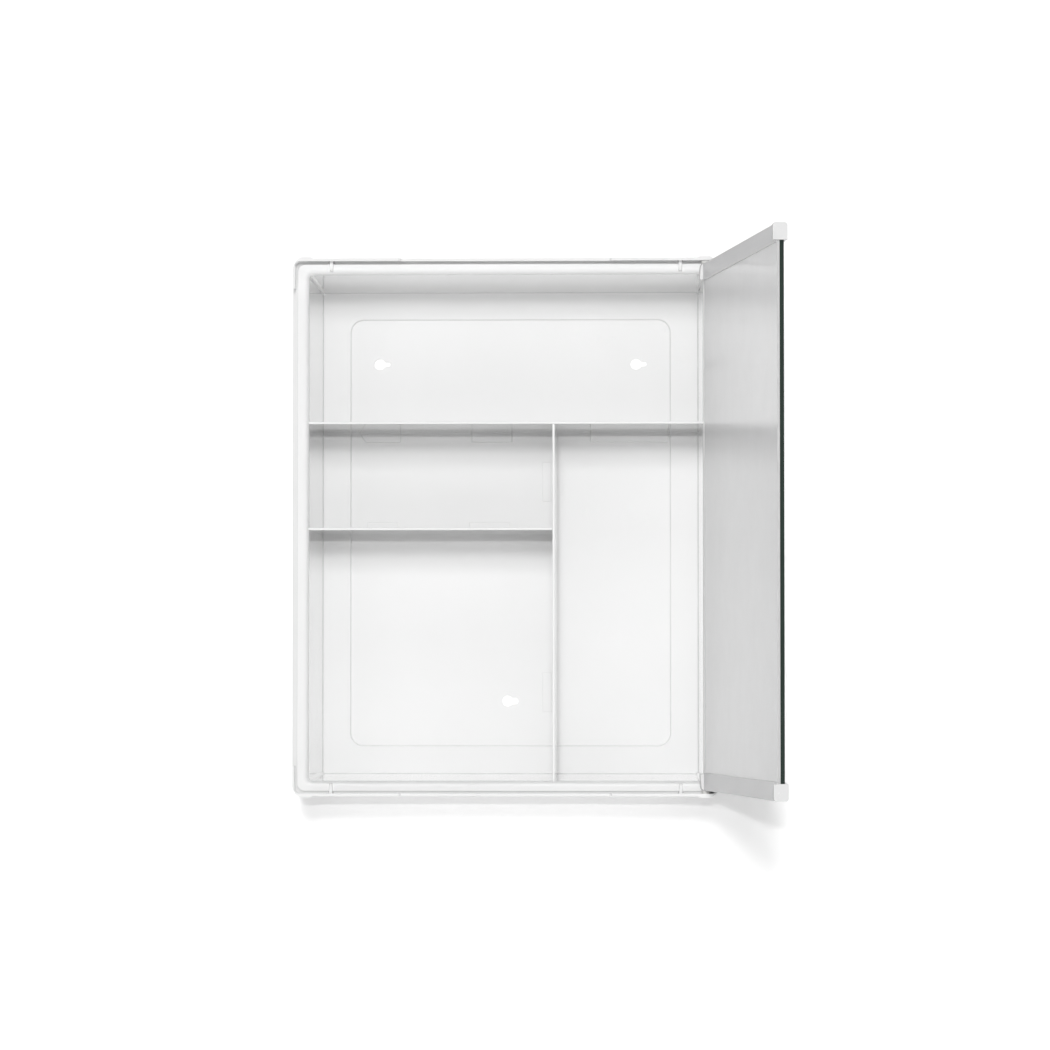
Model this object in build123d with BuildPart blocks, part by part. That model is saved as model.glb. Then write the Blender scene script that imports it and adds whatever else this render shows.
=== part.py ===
from build123d import *
import math
import os

os.makedirs("parts", exist_ok=True)

# Mirrored medicine cabinet, millimetres, +Z up, +Y towards the wall.
# Origin: centre of the cabinet on the plane where its back pad touches the wall.

# ---------------------------------------------------------------- driving dimensions
WIDTH = 370.0            # over the rim
HEIGHT = 464.0           # over the two lips, hinge bosses not counted
RIM_R = 8.5              # outer corner radius of rim and lips

Y_PAD = 0.0              # rear face of the central pad (wall plane)
Y_REAR = -1.5            # rear face of the back wall round the pad
Y_PANEL = -2.0           # inner face of the central panel
Y_BACK = -3.5            # inner face of the back wall round the panel
Y_SKIRT = -128.5         # rear end of the rim's outer skirt
Y_FLOOR = -140.5         # flange strip, set back behind the frame face
Y_FACE = -145.5          # frame face
Y_LIP = -159.0           # front edges of the lips

FRONT_HW, FRONT_HH = 170.36, 219.1       # cavity, half width and height at the frame face
BACK_HW, BACK_TOP, BACK_BOT = 168.1, 215.1, 215.9
CAVITY_R, BACK_R = 3.0, 2.6              # cavity corners, at the frame face and at the back
BACK_ROUND = 1.5         # inside rounding along the back wall's outline
OPENING_ROUND = 6.0
EDGE_R = 0.8             # outer edge of the frame face
LIP_EDGE_R = 0.5         # front edges of the lips
WALL = 2.2

FACE_HW, FACE_HH = 180.5, 228.1          # outer edge of the frame face
LIP_T, LIP_SIDE_T = 2.4, 1.8             # lips, and their ends round the corners
LIP_HW = 183.4           # half width over the lips, a little inside the rim
FLANGE_RISE = 2.4        # the flange strip slopes up towards the frame face
LIP_IN_R = 3.9           # inner corner radius of the lips
LIP_END = 206.0          # the lips wrap round the corners down to this height
LIP_DIP_HW, LIP_DIP = 90.0, 3.0          # middle stretch of the lips, set back

PIN_X, PIN_Y, PIN_R = 172.75, -151.7, 2.0
PIN_HOLE_R = 2.02        # in the lips
BORE_R = 2.06            # in the door's end caps
BOSS_HW, BOSS_T = 5.45, 1.2
WASHER_R = 3.6

STOP_X, STOP_H, STOP_DRAFT = 151.0, 2.9, 12.0   # door-stop ribs on the frame face
PANEL_HW, PANEL_HH, PANEL_R, PANEL_SLOPE = 142.7, 190.5, 11.0, 1.2

KEY_R = 4.8
KEY_X, KEY_PITCH, KEY_Z = -2.4, 230.0, 151.3
KEY_LOW_Z = -150.8

SHELF_T = 2.0
SHELF_FRONT = -142.5
UPPER_Z = 89.5           # underside of the upper shelf
MIDDLE_Z = -2.4          # underside of the middle shelf
DIV_X = 40.3             # left face of the divider
GROOVE = 0.8

DOOR_OPEN = 98.67         # degrees from closed, as stored
DOOR_L = 353.0           # hinge axis to free end
DOOR_HH = 226.9
RAIL_H, RAIL_WEB = 15.0, 2.0
RAIL_IN, RAIL_CH_IN, RAIL_CH_OUT, RAIL_OUT = -3.0, -1.9, 3.62, 5.0
CAP_T, CAP_H = 5.9, 13.8                 # half thickness and height of the end caps
HINGE_CAP_L, FREE_CAP_L = 5.3, 4.5
BOARD_IN, BOARD_OUT = -1.88, 0.10
GLASS_IN, GLASS_OUT = 0.12, 3.60
SHEET_HH = 221.9

SLOPE = (FRONT_HW - BACK_HW) / (Y_BACK - Y_FACE)


def front(y):
    """Plane parallel to the wall at y; its x is +X, its y is +Z, its normal points to the viewer."""
    return Plane(origin=(0, y, 0), x_dir=(1, 0, 0), z_dir=(0, -1, 0))


def half_width(y):
    """Half width of the cavity at depth y."""
    return BACK_HW + SLOPE * (Y_BACK - y)


def floor_z(y):
    """Height of the cavity's floor at depth y."""
    return -(BACK_BOT + (FRONT_HH - BACK_BOT) * (Y_BACK - y) / (Y_BACK - Y_FACE))


def save(part, label):
    part.label = label
    export_step(part, "parts/" + label + ".step")


# ---------------------------------------------------------------- cabinet body
with BuildPart() as cabinet_body:
    # tub, outside
    with BuildSketch(front(Y_REAR)):
        with Locations((0, (BACK_TOP - BACK_BOT) / 2)):
            RectangleRounded(2 * (BACK_HW + WALL), BACK_TOP + BACK_BOT + 2 * WALL, BACK_R + WALL)
    with BuildSketch(front(Y_FACE)):
        RectangleRounded(2 * (FRONT_HW + WALL), 2 * (FRONT_HH + WALL), CAVITY_R + WALL)
    loft(ruled=True)
    # rim block and frame face
    with BuildSketch(front(Y_SKIRT)):
        RectangleRounded(WIDTH, HEIGHT, RIM_R)
    extrude(amount=Y_SKIRT - Y_FLOOR)
    with BuildSketch(front(Y_FLOOR + 2.5)):
        RectangleRounded(2 * FACE_HW, 2 * FACE_HH, 6.5)
    extrude(amount=Y_FLOOR + 2.5 - Y_FACE)
    with BuildSketch(front(Y_FLOOR)):
        RectangleRounded(2 * (FACE_HW + 4.2), 2 * (FACE_HH + 3.6), 8.2)
    with BuildSketch(front(Y_FLOOR - FLANGE_RISE)):
        RectangleRounded(2 * FACE_HW, 2 * FACE_HH, 6.5)
    loft(ruled=True)
    # the rim is hollow from behind
    with BuildSketch(front(Y_SKIRT)):
        RectangleRounded(WIDTH - 2 * WALL, HEIGHT - 2 * WALL, RIM_R - WALL)
        RectangleRounded(2 * (FRONT_HW + WALL + 0.2), 2 * (FRONT_HH + WALL + 0.2), CAVITY_R + WALL, mode=Mode.SUBTRACT)
    extrude(amount=Y_SKIRT - Y_FLOOR - WALL, mode=Mode.SUBTRACT)
    with BuildSketch(front(Y_FLOOR + WALL)):
        RectangleRounded(2 * (FACE_HW - WALL), 2 * (FACE_HH - WALL), 6.5 - WALL)
        RectangleRounded(2 * (FRONT_HW + 4.4), 2 * (FRONT_HH + 4.2), CAVITY_R + 2 * WALL, mode=Mode.SUBTRACT)
    extrude(amount=Y_FLOOR - Y_FACE, mode=Mode.SUBTRACT)
    # cavity
    with BuildSketch(front(Y_BACK)):
        with Locations((0, (BACK_TOP - BACK_BOT) / 2)):
            RectangleRounded(2 * BACK_HW, BACK_TOP + BACK_BOT, BACK_R)
    with BuildSketch(front(Y_FACE)):
        RectangleRounded(2 * FRONT_HW, 2 * FRONT_HH, CAVITY_R)
    loft(ruled=True, mode=Mode.SUBTRACT)
    back_loop = [e for e in cabinet_body.edges()
                 if abs(e.center().Y - Y_BACK) < 0.01 and abs(e.bounding_box().size.Y) < 0.01
                 and abs(e.center().X) < BACK_HW + 0.2 and abs(e.center().Z) < BACK_BOT + 0.2]
    fillet(back_loop, BACK_ROUND)
    # rounded opening edge
    opening = [e for e in cabinet_body.edges()
               if abs(e.center().Y - Y_FACE) < 0.01 and abs(e.bounding_box().size.Y) < 0.01
               and abs(e.center().X) < FRONT_HW + 0.2 and abs(e.center().Z) < FRONT_HH + 0.2]
    fillet(opening, OPENING_ROUND)
    # softened outer edge of the frame face
    outline = [e for e in cabinet_body.edges()
               if abs(e.center().Y - Y_FACE) < 0.01 and abs(e.bounding_box().size.Y) < 0.01
               and (abs(e.center().X) > FACE_HW - 3 or abs(e.center().Z) > FACE_HH - 3)]
    fillet(outline, EDGE_R)
    # lips along the top and bottom, wrapping the corners
    with BuildSketch(front(Y_FLOOR + 0.5)):
        RectangleRounded(2 * LIP_HW, HEIGHT, RIM_R)
        RectangleRounded(2 * (LIP_HW - LIP_SIDE_T), HEIGHT - 2 * LIP_T, LIP_IN_R, mode=Mode.SUBTRACT)
        Rectangle(WIDTH + 20, 2 * LIP_END, mode=Mode.SUBTRACT)
    extrude(amount=Y_FLOOR + 0.5 - Y_LIP)
    # middle stretch of both lips set back
    with BuildSketch(Plane.XY.offset(-HEIGHT / 2 - 5)):
        with BuildLine():
            Polyline((-LIP_DIP_HW - 2.4, Y_LIP - 1), (-LIP_DIP_HW - 1.8, Y_LIP), (-LIP_DIP_HW, Y_LIP + LIP_DIP),
                     (LIP_DIP_HW, Y_LIP + LIP_DIP), (LIP_DIP_HW + 1.8, Y_LIP), (LIP_DIP_HW + 2.4, Y_LIP - 1), close=True)
        make_face()
    extrude(amount=HEIGHT + 10, mode=Mode.SUBTRACT)
    lip_edges = [e for e in cabinet_body.edges()
                 if abs(e.center().Z) > LIP_END - 1 and abs(e.bounding_box().size.Y) < 0.01
                 and (abs(e.center().Y - Y_LIP) < 0.01 or abs(e.center().Y - Y_LIP - LIP_DIP) < 0.01)
                 and e.length > 3.0]
    fillet(lip_edges, LIP_EDGE_R)
    # hinge bosses on the four lip corners
    with BuildSketch(front(PIN_Y + 7.3)) as boss_sk:
        for sx in (-1, 1):
            for sz in (-1, 1):
                with BuildLine():
                    Polyline(*[(sx * x, sz * z) for x, z in (
                        (PIN_X - BOSS_HW - 1.2, 231.0), (PIN_X - BOSS_HW - 1.2, 232.0), (PIN_X - BOSS_HW, 232.0 + BOSS_T),
                        (177.0, 232.0 + BOSS_T), (181.3, 229.9), (180.06, 228.66), (176.4, 231.0))], close=True)
                make_face()
    extrude(amount=PIN_Y + 7.3 - Y_LIP)
    # door-stop ribs
    with BuildSketch(front(Y_FLOOR + 0.4)):
        for sx in (-1, 1):
            for sz in (-1, 1):
                with BuildLine():
                    Polyline(*[(sx * STOP_X + x, sz * z) for x, z in (
                        (-2.3, 230.9), (2.3, 230.9), (2.1, 227.2), (-2.1, 227.2))], close=True)
                make_face()
    extrude(amount=Y_FLOOR + 0.4 - Y_FACE + STOP_H, taper=STOP_DRAFT / 2)
    with BuildSketch(front(Y_FACE + 1.6)):
        for sx in (-1, 1):
            for sz in (-1, 1):
                with BuildLine():
                    Polyline(*[(sx * STOP_X + x, sz * z) for x, z in (
                        (-2.33, 229.1), (2.33, 229.1), (1.73, 221.2), (-1.73, 221.2))], close=True)
                make_face()
    extrude(amount=1.6 + STOP_H, taper=STOP_DRAFT)
    # central pad behind, panel recess in front
    with BuildSketch(front(Y_PAD)):
        RectangleRounded(2 * (PANEL_HW + WALL), 2 * (PANEL_HH + WALL), PANEL_R + WALL)
    extrude(amount=Y_PAD - Y_REAR + 0.2)
    with BuildSketch(front(Y_PANEL)):
        RectangleRounded(2 * PANEL_HW, 2 * PANEL_HH, PANEL_R)
    with BuildSketch(front(Y_BACK - 0.01)):
        RectangleRounded(2 * (PANEL_HW + PANEL_SLOPE), 2 * (PANEL_HH + PANEL_SLOPE), PANEL_R + PANEL_SLOPE)
    loft(ruled=True, mode=Mode.SUBTRACT)
    # locating lugs on the back panel, under the upper shelf
    with BuildSketch(front(Y_PANEL + 0.3)):
        with BuildLine():
            Polyline((-136.6, UPPER_Z + 0.9), (-130.4, 80.6), (-98.2, 80.6), (-98.2, UPPER_Z + 0.9), close=True)
        make_face()
        with Locations((-16.65, (80.6 + UPPER_Z + 0.9) / 2)):
            Rectangle(36.9, UPPER_Z + 0.9 - 80.6)
        with Locations((106.7, (80.6 + UPPER_Z + 0.9) / 2)):
            Rectangle(70.6, UPPER_Z + 0.9 - 80.6)
    extrude(amount=1.5, taper=30)
    # lower, fainter lugs beside the middle shelf and the divider
    with BuildSketch(front(Y_PANEL + 0.3)):
        with Locations((-114.75, 4.7)):
            Rectangle(27.9, 9.8)
        with Locations((-18.6, 4.7)):
            Rectangle(36.8, 9.8)
        with Locations((32.65, 45.5)):
            Rectangle(8.1, 35.9)
        with Locations((32.65, -143.0)):
            Rectangle(8.1, 35.9)
    extrude(amount=0.8, taper=30)
    # keyholes
    with BuildSketch(front(1.0)):
        with Locations((KEY_X - KEY_PITCH / 2, KEY_Z), (KEY_X + KEY_PITCH / 2, KEY_Z), (KEY_X, KEY_LOW_Z)):
            Circle(KEY_R)
        for x, z, hw in ((KEY_X - KEY_PITCH / 2, KEY_Z, 2.0), (KEY_X + KEY_PITCH / 2, KEY_Z, 2.0), (KEY_X, KEY_LOW_Z, 2.9)):
            reach = 9.3 - hw
            with Locations((x + reach / 2, z)):
                Rectangle(reach, 2 * hw)
            with Locations((x + reach, z)):
                Circle(hw)
    extrude(amount=6.0, mode=Mode.SUBTRACT)
    # grooves that hold the plates
    for z in (UPPER_Z, MIDDLE_Z):
        with BuildSketch(Plane.XY.offset(z - 0.05)):
            with BuildLine():
                Polyline((-half_width(Y_BACK) - GROOVE, Y_BACK), (-half_width(SHELF_FRONT) - GROOVE, SHELF_FRONT - 0.1),
                         (-100, SHELF_FRONT - 0.1), (-100, Y_BACK), close=True)
            make_face()
        extrude(amount=SHELF_T + 0.1, mode=Mode.SUBTRACT)
    with BuildSketch(Plane.XY.offset(UPPER_Z - 0.05)):
        with BuildLine():
            Polyline((half_width(Y_BACK) + GROOVE, Y_BACK), (half_width(SHELF_FRONT) + GROOVE, SHELF_FRONT - 0.1),
                     (100, SHELF_FRONT - 0.1), (100, Y_BACK), close=True)
        make_face()
    extrude(amount=SHELF_T + 0.1, mode=Mode.SUBTRACT)
    with BuildSketch(Plane(origin=(DIV_X - 0.05, 0, 0), x_dir=(0, 1, 0), z_dir=(1, 0, 0))):
        with BuildLine():
            Polyline((Y_BACK, floor_z(Y_BACK) - GROOVE), (SHELF_FRONT - 0.1, floor_z(SHELF_FRONT) - GROOVE),
                     (SHELF_FRONT - 0.1, -190), (Y_BACK, -190), close=True)
        make_face()
    extrude(amount=SHELF_T + 0.1, mode=Mode.SUBTRACT)
    # small moulded mark on the lower frame face
    with BuildSketch(front(Y_FACE + 0.9)):
        with Locations((-29.0, -225.0)):
            Ellipse(6.8, 2.6)
    extrude(amount=1.3)
    # pin holes through lips and bosses
    with BuildSketch(Plane.XY.offset(-HEIGHT / 2 - 5)):
        with Locations((-PIN_X, PIN_Y), (PIN_X, PIN_Y)):
            Circle(PIN_HOLE_R)
    extrude(amount=HEIGHT + 10, mode=Mode.SUBTRACT)
save(cabinet_body.part, "cabinet_body")

# ---------------------------------------------------------------- shelves and divider
with BuildPart() as upper_shelf:
    with BuildSketch(Plane.XY.offset(UPPER_Z)):
        with BuildLine():
            hb, hf = half_width(Y_BACK) + GROOVE - 0.1, half_width(SHELF_FRONT) + GROOVE - 0.1
            Polyline((-hb, Y_BACK - 0.05), (-hf, SHELF_FRONT), (hf, SHELF_FRONT), (hb, Y_BACK - 0.05), close=True)
        make_face()
    extrude(amount=SHELF_T)
    fillet(upper_shelf.edges().filter_by(Axis.X).sort_by(Axis.Y)[:2], 0.45)
save(upper_shelf.part, "upper_shelf")

with BuildPart() as middle_shelf:
    with BuildSketch(Plane.XY.offset(MIDDLE_Z)):
        with BuildLine():
            Polyline((-half_width(Y_BACK) - GROOVE + 0.1, Y_BACK - 0.05), (-half_width(SHELF_FRONT) - GROOVE + 0.1, SHELF_FRONT),
                     (DIV_X - 0.05, SHELF_FRONT), (DIV_X - 0.05, Y_BACK - 0.05), close=True)
        make_face()
    extrude(amount=SHELF_T)
    fillet(middle_shelf.edges().filter_by(Axis.X).sort_by(Axis.Y)[:2], 0.45)
save(middle_shelf.part, "middle_shelf")

with BuildPart() as divider:
    with BuildSketch(Plane(origin=(DIV_X, 0, 0), x_dir=(0, 1, 0), z_dir=(1, 0, 0))):
        with BuildLine():
            Polyline((Y_BACK - 0.05, floor_z(Y_BACK) - GROOVE + 0.1), (SHELF_FRONT, floor_z(SHELF_FRONT) - GROOVE + 0.1),
                     (SHELF_FRONT, UPPER_Z - 0.1), (Y_BACK - 0.05, UPPER_Z - 0.1), close=True)
        make_face()
    extrude(amount=SHELF_T)
    fillet(divider.edges().filter_by(Axis.Z).sort_by(Axis.Y)[:2], 0.45)
save(divider.part, "divider")

# ---------------------------------------------------------------- hinge pins and washers
LIP_IN = HEIGHT / 2 - LIP_T
for sign, name in ((1, "top"), (-1, "bottom")):
    z_low, z_high = (215.2, 233.0) if sign > 0 else (-233.0, -215.2)
    with BuildPart() as pin:
        with BuildSketch(Plane.XY.offset(z_low)):
            with Locations((PIN_X, PIN_Y)):
                Circle(PIN_R)
        extrude(amount=z_high - z_low)
        chamfer(pin.edges().filter_by(GeomType.CIRCLE), 0.4)
    save(pin.part, "hinge_pin_" + name)
    w_low, w_high = (DOOR_HH + 0.4, LIP_IN) if sign > 0 else (-LIP_IN, -DOOR_HH - 0.4)
    with BuildPart() as washer:
        with BuildSketch(Plane.XY.offset(w_low)):
            with Locations((PIN_X, PIN_Y)):
                Circle(WASHER_R)
                Circle(PIN_HOLE_R, mode=Mode.SUBTRACT)
        extrude(amount=w_high - w_low)
    save(washer.part, "hinge_washer_" + name)

# ---------------------------------------------------------------- door
# Door plane: x runs from the hinge axis to the free end, y is the thickness (+ = mirror side), z is up.
PHI = math.radians(DOOR_OPEN)
DOOR = Plane(origin=(PIN_X, PIN_Y, 0), x_dir=(-math.cos(PHI), -math.sin(PHI), 0), z_dir=(0, 0, 1))
SHEET_A, SHEET_B = HINGE_CAP_L, DOOR_L - FREE_CAP_L


def door_at(z):
    return DOOR.offset(z)


def door_end(a):
    """Plane across the door at distance a from the hinge axis; its x is the thickness, its y is up."""
    o = DOOR.from_local_coords(Vector(a, 0, 0))
    return Plane(origin=o, x_dir=DOOR.y_dir, z_dir=DOOR.x_dir)


with BuildPart() as mirror_glass:
    with BuildSketch(door_at(-SHEET_HH)):
        with Locations(((SHEET_A + SHEET_B) / 2, (GLASS_IN + GLASS_OUT) / 2)):
            Rectangle(SHEET_B - SHEET_A, GLASS_OUT - GLASS_IN)
    extrude(amount=2 * SHEET_HH)
    chamfer(mirror_glass.edges().filter_by(Axis.Z), 0.3)
save(mirror_glass.part, "mirror_glass")

with BuildPart() as door_back_board:
    with BuildSketch(door_at(-SHEET_HH)):
        with Locations(((SHEET_A + SHEET_B) / 2, (BOARD_IN + BOARD_OUT) / 2)):
            Rectangle(SHEET_B - SHEET_A, BOARD_OUT - BOARD_IN)
    extrude(amount=2 * SHEET_HH)
save(door_back_board.part, "door_back_board")

for sign, name in ((1, "top"), (-1, "bottom")):
    with BuildPart() as rail:
        with BuildSketch(door_end(SHEET_A)):
            with BuildLine():
                Polyline(*[(b, sign * z) for b, z in (
                    (RAIL_IN, DOOR_HH - RAIL_H), (RAIL_IN, DOOR_HH), (RAIL_OUT, DOOR_HH), (RAIL_OUT, DOOR_HH - RAIL_H),
                    (RAIL_CH_OUT, DOOR_HH - RAIL_H), (RAIL_CH_OUT, DOOR_HH - RAIL_WEB),
                    (RAIL_CH_IN, DOOR_HH - RAIL_WEB), (RAIL_CH_IN, DOOR_HH - RAIL_H))], close=True)
            make_face()
        extrude(amount=SHEET_B - SHEET_A)
        long_edges = [e for e in rail.edges() if e.length > 300 and abs(abs(e.center().Z) - DOOR_HH) < 0.01]
        fillet(long_edges, 0.9)
        low_edges = [e for e in rail.edges() if e.length > 300 and abs(abs(e.center().Z) - (DOOR_HH - RAIL_H)) < 0.01]
        fillet(low_edges, 0.4)
    save(rail.part, name + "_rail")

    z_cap = DOOR_HH - CAP_H if sign > 0 else -DOOR_HH
    z_tongue = SHEET_HH + 0.2 if sign > 0 else -(DOOR_HH - RAIL_WEB - 0.1)
    tongue_h = DOOR_HH - RAIL_WEB - 0.1 - SHEET_HH - 0.2
    with BuildPart() as hinge_cap:
        with BuildSketch(door_at(z_cap)):
            Circle(CAP_T)
            with Locations((HINGE_CAP_L / 2, 0)):
                Rectangle(HINGE_CAP_L, 2 * CAP_T)
            with Locations((HINGE_CAP_L + 2, 0)):
                Rectangle(4, 3 * CAP_T, mode=Mode.SUBTRACT)
        extrude(amount=CAP_H)
        # the inner side slopes back towards the lip and is rounded off beside it
        with BuildSketch(door_end(-CAP_T - 1)):
            with BuildLine():
                Polyline(*[(b, sign * z) for b, z in (
                    (-CAP_T, DOOR_HH - CAP_H), (-CAP_T + 0.9, DOOR_HH - 3.2), (-CAP_T + 1.6, DOOR_HH - 1.3),
                    (RAIL_IN, DOOR_HH), (RAIL_IN, DOOR_HH + 2), (-CAP_T - 3, DOOR_HH + 2),
                    (-CAP_T - 3, DOOR_HH - CAP_H))], close=True)
            make_face()
        extrude(amount=2 * CAP_T + 4, mode=Mode.SUBTRACT)
        with BuildSketch(door_at(z_tongue)):
            with Locations((HINGE_CAP_L + 6.3, (RAIL_CH_IN + RAIL_CH_OUT) / 2)):
                Rectangle(13.0, RAIL_CH_OUT - RAIL_CH_IN - 0.1)
        extrude(amount=tongue_h)
        with BuildSketch(door_at(z_cap - 1)):
            Circle(BORE_R)
        extrude(amount=CAP_H + 2, mode=Mode.SUBTRACT)
    save(hinge_cap.part, name + "_hinge_cap")

    with BuildPart() as free_cap:
        with BuildSketch(door_end(DOOR_L - FREE_CAP_L)):
            with Locations((0, sign * (DOOR_HH - CAP_H / 2))):
                Rectangle(2 * CAP_T, CAP_H)
        extrude(amount=FREE_CAP_L)
        corner = [e for e in free_cap.edges() if abs(abs(e.center().Z) - DOOR_HH) < 0.01
                  and abs(e.bounding_box().size.Z) < 0.01
                  and abs(abs(DOOR.to_local_coords(e.center()).Y) - CAP_T) < 0.01]
        fillet(corner, 2.4)
        end_loop = free_cap.faces().sort_by(lambda f: -DOOR.to_local_coords(f.center()).X)[0].edges()
        fillet(end_loop, 0.5)
        # the mirror-side part of the end face lies a little lower
        with BuildSketch(door_end(DOOR_L - 0.35)):
            with Locations(((CAP_T + 1 - 2.15) / 2, sign * (DOOR_HH - CAP_H / 2))):
                Rectangle(CAP_T + 1 + 2.15, CAP_H + 2)
        extrude(amount=1.0, mode=Mode.SUBTRACT)
        with BuildSketch(door_at(z_tongue)):
            with Locations((DOOR_L - FREE_CAP_L - 6.3, (RAIL_CH_IN + RAIL_CH_OUT) / 2)):
                Rectangle(13.0, RAIL_CH_OUT - RAIL_CH_IN - 0.1)
        extrude(amount=tongue_h)
    save(free_cap.part, name + "_free_cap")

    with BuildPart() as strip:
        with BuildSketch(door_at(SHEET_HH + 0.02 if sign > 0 else -(DOOR_HH - RAIL_WEB - 0.02))):
            with Locations(((SHEET_A + SHEET_B) / 2, (RAIL_CH_IN + RAIL_CH_OUT) / 2)):
                Rectangle(SHEET_B - SHEET_A - 2 * 13.4, RAIL_CH_OUT - RAIL_CH_IN - 0.06)
        extrude(amount=DOOR_HH - RAIL_WEB - SHEET_HH - 0.04)
    save(strip.part, name + "_glazing_strip")
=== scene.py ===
import math

import bpy
from mathutils import Matrix, Vector

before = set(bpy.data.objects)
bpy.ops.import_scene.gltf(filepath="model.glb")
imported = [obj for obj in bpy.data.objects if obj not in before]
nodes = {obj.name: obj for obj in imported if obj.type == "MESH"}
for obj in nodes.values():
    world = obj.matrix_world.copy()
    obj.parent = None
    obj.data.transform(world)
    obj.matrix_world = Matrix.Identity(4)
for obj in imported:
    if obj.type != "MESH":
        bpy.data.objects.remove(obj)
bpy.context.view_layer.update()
scene = bpy.context.scene
scene.view_settings.view_transform = "Standard"
scene.view_settings.look = "None"

# ------------------------------------------------------------------ camera
cam_data = bpy.data.cameras.new("camera")
cam_data.sensor_width = 36.0
cam_data.lens = 150.08
cam_data.clip_start = 0.05
cam_data.clip_end = 60.0
cam = bpy.data.objects.new("camera", cam_data)
scene.collection.objects.link(cam)
yaw, pitch = 0.02563, 0.03495
forward = Vector((-math.sin(yaw) * math.cos(pitch), math.cos(yaw) * math.cos(pitch), math.sin(pitch)))
right = Vector((math.cos(yaw), math.sin(yaw), 0.0))
up = right.cross(forward)
cam.matrix_world = Matrix.Translation((0.11355, -3.92422, -0.13039)) @ Matrix((
    (right.x, up.x, -forward.x), (right.y, up.y, -forward.y), (right.z, up.z, -forward.z))).to_4x4()
scene.camera = cam


# ------------------------------------------------------------------ materials
def new_material(name):
    m = bpy.data.materials.new(name)
    m.use_nodes = True
    nt = m.node_tree
    nt.nodes.clear()
    out = nt.nodes.new("ShaderNodeOutputMaterial")
    bsdf = nt.nodes.new("ShaderNodeBsdfPrincipled")
    nt.links.new(bsdf.outputs["BSDF"], out.inputs["Surface"])
    coord = nt.nodes.new("ShaderNodeTexCoord")
    return m, nt, bsdf, coord


def noise(nt, coord, scale, detail=3.0, rough=0.5, stretch=None):
    n = nt.nodes.new("ShaderNodeTexNoise")
    n.inputs["Scale"].default_value = scale
    n.inputs["Detail"].default_value = detail
    n.inputs["Roughness"].default_value = rough
    if stretch:
        mp = nt.nodes.new("ShaderNodeMapping")
        mp.inputs["Scale"].default_value = stretch
        nt.links.new(coord.outputs["Object"], mp.inputs["Vector"])
        nt.links.new(mp.outputs["Vector"], n.inputs["Vector"])
    else:
        nt.links.new(coord.outputs["Object"], n.inputs["Vector"])
    return n


def remap(nt, source, lo, hi, a, b):
    r = nt.nodes.new("ShaderNodeMapRange")
    r.inputs["From Min"].default_value = lo
    r.inputs["From Max"].default_value = hi
    r.inputs["To Min"].default_value = a
    r.inputs["To Max"].default_value = b
    nt.links.new(source, r.inputs["Value"])
    return r.outputs["Result"]


def two_tone(nt, factor, dark, light):
    mx = nt.nodes.new("ShaderNodeMix")
    mx.data_type = "RGBA"
    mx.inputs["A"].default_value = (*dark, 1)
    mx.inputs["B"].default_value = (*light, 1)
    nt.links.new(factor, mx.inputs["Factor"])
    return mx.outputs["Result"]


def bump(nt, height, strength, distance, bsdf, chain=None):
    b = nt.nodes.new("ShaderNodeBump")
    b.inputs["Strength"].default_value = strength
    b.inputs["Distance"].default_value = distance
    nt.links.new(height, b.inputs["Height"])
    if chain:
        nt.links.new(chain, b.inputs["Normal"])
    nt.links.new(b.outputs["Normal"], bsdf.inputs["Normal"])
    return b.outputs["Normal"]


def plastic(name, dark, light, rough=(0.2, 0.28), orange=0.00003, orange_scale=260.0, specular=0.5, coat=0.0, coat_rough=0.04):
    """Moulded white plastic: faint cloudiness in colour, uneven gloss, a very fine surface ripple."""
    m, nt, bsdf, coord = new_material(name)
    cloud = noise(nt, coord, 9.0, 4.0)
    nt.links.new(two_tone(nt, remap(nt, cloud.outputs["Fac"], 0.3, 0.7, 0.0, 1.0), dark, light), bsdf.inputs["Base Color"])
    gloss = noise(nt, coord, 24.0, 5.0, 0.6)
    nt.links.new(remap(nt, gloss.outputs["Fac"], 0.3, 0.7, *rough), bsdf.inputs["Roughness"])
    fine = noise(nt, coord, orange_scale, 2.0)
    bump(nt, fine.outputs["Fac"], 0.5, orange, bsdf)
    bsdf.inputs["IOR"].default_value = 1.5
    bsdf.inputs["Specular IOR Level"].default_value = specular
    bsdf.inputs["Coat Weight"].default_value = coat
    bsdf.inputs["Coat IOR"].default_value = 1.5
    bsdf.inputs["Coat Roughness"].default_value = coat_rough
    return m


WHITE = (0.91, 0.91, 0.91)
WHITE_D = (0.89, 0.892, 0.89)
body_mat = plastic("moulded_body", WHITE_D, WHITE, rough=(0.10, 0.16), coat=1.0)
shelf_mat = plastic("shelf_sheet", WHITE_D, WHITE, rough=(0.08, 0.13), coat=1.0)
rail_mat = plastic("rail_section", (0.73, 0.73, 0.735), (0.75, 0.75, 0.755), rough=(0.28, 0.36))
cap_mat = plastic("end_cap", (0.755, 0.755, 0.755), (0.775, 0.775, 0.775), rough=(0.22, 0.30))
washer_mat = plastic("washer_nylon", (0.80, 0.80, 0.78), (0.83, 0.83, 0.81), rough=(0.42, 0.5))


def sheet_face(nt, coord):
    """1 on the two large faces of a door sheet, 0 on its cut edges."""
    phi = math.radians(98.67)
    dot = nt.nodes.new("ShaderNodeVectorMath")
    dot.operation = "DOT_PRODUCT"
    dot.inputs[1].default_value = (math.sin(phi), -math.cos(phi), 0.0)
    nt.links.new(coord.outputs["Normal"], dot.inputs[0])
    mag = nt.nodes.new("ShaderNodeMath")
    mag.operation = "ABSOLUTE"
    nt.links.new(dot.outputs["Value"], mag.inputs[0])
    return remap(nt, mag.outputs["Value"], 0.9, 0.97, 0.0, 1.0)


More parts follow.
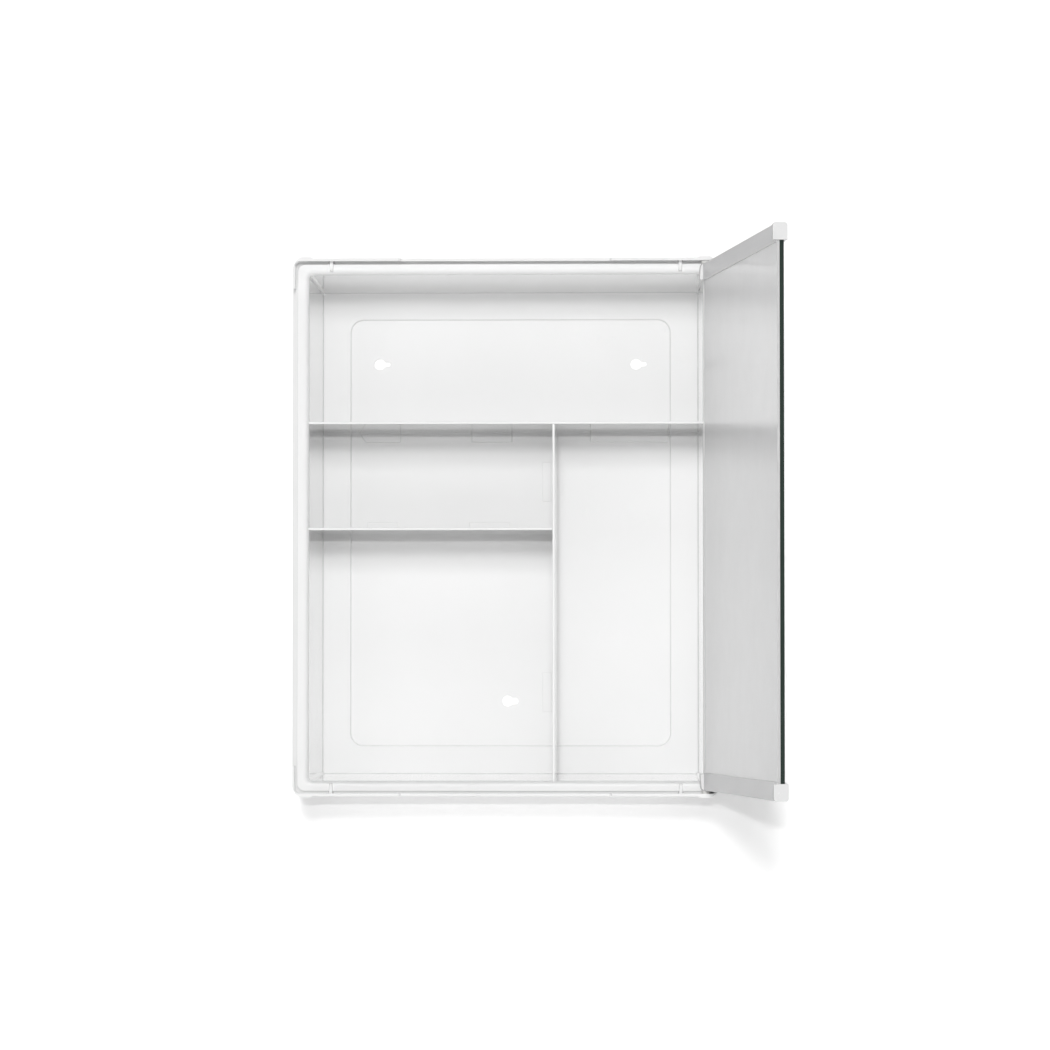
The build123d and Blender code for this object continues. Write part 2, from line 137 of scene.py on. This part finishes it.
def board_material():
    """Smooth white sheet; its sawn edges are greyer and matt."""
    m, nt, bsdf, coord = new_material("door_sheet")
    face = sheet_face(nt, coord)
    cloud = noise(nt, coord, 9.0, 4.0)
    smooth = two_tone(nt, remap(nt, cloud.outputs["Fac"], 0.3, 0.7, 0.0, 1.0), (0.86, 0.86, 0.865), (0.88, 0.88, 0.885))
    saw = noise(nt, coord, 900.0, 2.0, 0.6, stretch=(1.0, 1.0, 0.15))
    sawn = two_tone(nt, saw.outputs["Fac"], (0.50, 0.50, 0.50), (0.66, 0.66, 0.66))
    mx = nt.nodes.new("ShaderNodeMix")
    mx.data_type = "RGBA"
    nt.links.new(face, mx.inputs["Factor"])
    nt.links.new(sawn, mx.inputs["A"])
    nt.links.new(smooth, mx.inputs["B"])
    nt.links.new(mx.outputs["Result"], bsdf.inputs["Base Color"])
    gloss = noise(nt, coord, 24.0, 5.0, 0.6)
    smooth_rough = remap(nt, gloss.outputs["Fac"], 0.3, 0.7, 0.15, 0.20)
    mr = nt.nodes.new("ShaderNodeMix")
    mr.data_type = "FLOAT"
    nt.links.new(face, mr.inputs["Factor"])
    mr.inputs["A"].default_value = 0.6
    nt.links.new(smooth_rough, mr.inputs["B"])
    nt.links.new(mr.outputs["Result"], bsdf.inputs["Roughness"])
    fine = noise(nt, coord, 120.0, 2.0)
    bump(nt, fine.outputs["Fac"], 0.5, 0.00003, bsdf)
    return m


def mirror_material():
    """Silvered sheet: the two faces mirror, the ground edges are dark green glass."""
    m, nt, bsdf, coord = new_material("silvered_glass")
    face = sheet_face(nt, coord)
    tint = noise(nt, coord, 30.0, 3.0)
    edge = two_tone(nt, tint.outputs["Fac"], (0.006, 0.014, 0.010), (0.014, 0.030, 0.022))
    mx = nt.nodes.new("ShaderNodeMix")
    mx.data_type = "RGBA"
    nt.links.new(face, mx.inputs["Factor"])
    nt.links.new(edge, mx.inputs["A"])
    mx.inputs["B"].default_value = (0.87, 0.90, 0.885, 1)
    nt.links.new(mx.outputs["Result"], bsdf.inputs["Base Color"])
    nt.links.new(face, bsdf.inputs["Metallic"])
    smear = noise(nt, coord, 14.0, 5.0, 0.65)
    face_rough = remap(nt, smear.outputs["Fac"], 0.45, 0.75, 0.012, 0.03)
    mr = nt.nodes.new("ShaderNodeMix")
    mr.data_type = "FLOAT"
    nt.links.new(face, mr.inputs["Factor"])
    mr.inputs["A"].default_value = 0.35
    nt.links.new(face_rough, mr.inputs["B"])
    nt.links.new(mr.outputs["Result"], bsdf.inputs["Roughness"])
    return m


def steel_material():
    m, nt, bsdf, coord = new_material("drawn_steel")
    lines = noise(nt, coord, 60.0, 4.0, 0.6, stretch=(14.0, 14.0, 0.4))
    nt.links.new(two_tone(nt, lines.outputs["Fac"], (0.46, 0.46, 0.47), (0.62, 0.62, 0.63)), bsdf.inputs["Base Color"])
    bsdf.inputs["Metallic"].default_value = 1.0
    nt.links.new(remap(nt, lines.outputs["Fac"], 0.3, 0.7, 0.22, 0.36), bsdf.inputs["Roughness"])
    return m


def rubber_material():
    m, nt, bsdf, coord = new_material("grey_packing")
    grain = noise(nt, coord, 700.0, 3.0)
    nt.links.new(two_tone(nt, grain.outputs["Fac"], (0.09, 0.09, 0.095), (0.13, 0.13, 0.135)), bsdf.inputs["Base Color"])
    nt.links.new(remap(nt, grain.outputs["Fac"], 0.3, 0.7, 0.65, 0.8), bsdf.inputs["Roughness"])
    bump(nt, grain.outputs["Fac"], 0.4, 0.00005, bsdf)
    return m


board_mat = board_material()
mirror_mat = mirror_material()
steel_mat = steel_material()
rubber_mat = rubber_material()

LOOKS = {
    "cabinet_body": body_mat,
    "upper_shelf": shelf_mat,
    "middle_shelf": shelf_mat,
    "divider": shelf_mat,
    "hinge_pin_top": steel_mat,
    "hinge_pin_bottom": steel_mat,
    "hinge_washer_top": washer_mat,
    "hinge_washer_bottom": washer_mat,
    "mirror_glass": mirror_mat,
    "door_back_board": board_mat,
    "top_rail": rail_mat,
    "bottom_rail": rail_mat,
    "top_hinge_cap": cap_mat,
    "bottom_hinge_cap": cap_mat,
    "top_free_cap": cap_mat,
    "bottom_free_cap": cap_mat,
    "top_glazing_strip": rubber_mat,
    "bottom_glazing_strip": rubber_mat,
}
for name, mat in LOOKS.items():
    data = nodes[name].data
    data.materials.clear()
    data.materials.append(mat)

# ------------------------------------------------------------------ light
world = bpy.data.worlds.new("world")
scene.world = world
world.use_nodes = True
background = world.node_tree.nodes.get("Background") or world.node_tree.nodes.new("ShaderNodeBackground")
background.inputs["Color"].default_value = (1.0, 1.0, 1.0, 1.0)
background.inputs["Strength"].default_value = 0.6
world.cycles_visibility.diffuse = False     # bright surroundings for the reflections only


def area(name, place, aim, width, height, power):
    d = bpy.data.lights.new(name, "AREA")
    d.shape = "RECTANGLE"
    d.size = width
    d.size_y = height
    d.energy = power
    o = bpy.data.objects.new(name, d)
    o.location = place
    o.rotation_euler = (Vector(aim) - Vector(place)).to_track_quat("-Z", "Y").to_euler()
    scene.collection.objects.link(o)
    return o


# the studio light stands above the camera; its hot spot is kept out of the glossy back wall
for name, place, width, height, power in (
        ("key_low", (0.05, -7.0, 0.26), 0.22, 0.06, 90.7),
        ("key_mid", (0.05, -7.0, 0.85), 0.40, 0.40, 117.3),
        ("key_high", (0.05, -7.0, 1.45), 0.80, 0.70, 94.0)):
    area(name, place, (0, -0.1, 0), width, height, power).visible_glossy = False
area("side", (-2.2, -5.0, 0.4), (0, -0.1, 0), 1.4, 1.4, 9.1)
area("overhead", (0.0, -2.4, 2.2), (0, -0.1, 0), 2.2, 1.2, 13.7)


# ------------------------------------------------------------------ stage: a pale wall behind, a pale floor below
def plane(name, corners, colour, glow=0.0, mirrored=True):
    me = bpy.data.meshes.new(name)
    me.from_pydata(corners, [], [(0, 1, 2, 3)])
    o = bpy.data.objects.new(name, me)
    scene.collection.objects.link(o)
    m = bpy.data.materials.new(name)
    m.use_nodes = True
    b = m.node_tree.nodes["Principled BSDF"]
    b.inputs["Base Color"].default_value = (*colour, 1)
    b.inputs["Roughness"].default_value = 0.9
    b.inputs["Emission Color"].default_value = (1, 1, 1, 1)
    b.inputs["Emission Strength"].default_value = glow
    me.materials.append(m)
    o.visible_glossy = mirrored
    return o


plane("floor", [(-6, -7, -1.35), (6, -7, -1.35), (6, 0.0012, -1.35), (-6, 0.0012, -1.35)], (0.9, 0.9, 0.9))
plane("wall", [(-6, 0.0012, -1.35), (6, 0.0012, -1.35), (6, 0.0012, 4.0), (-6, 0.0012, 4.0)], (0.96, 0.96, 0.96), 0.25, False)
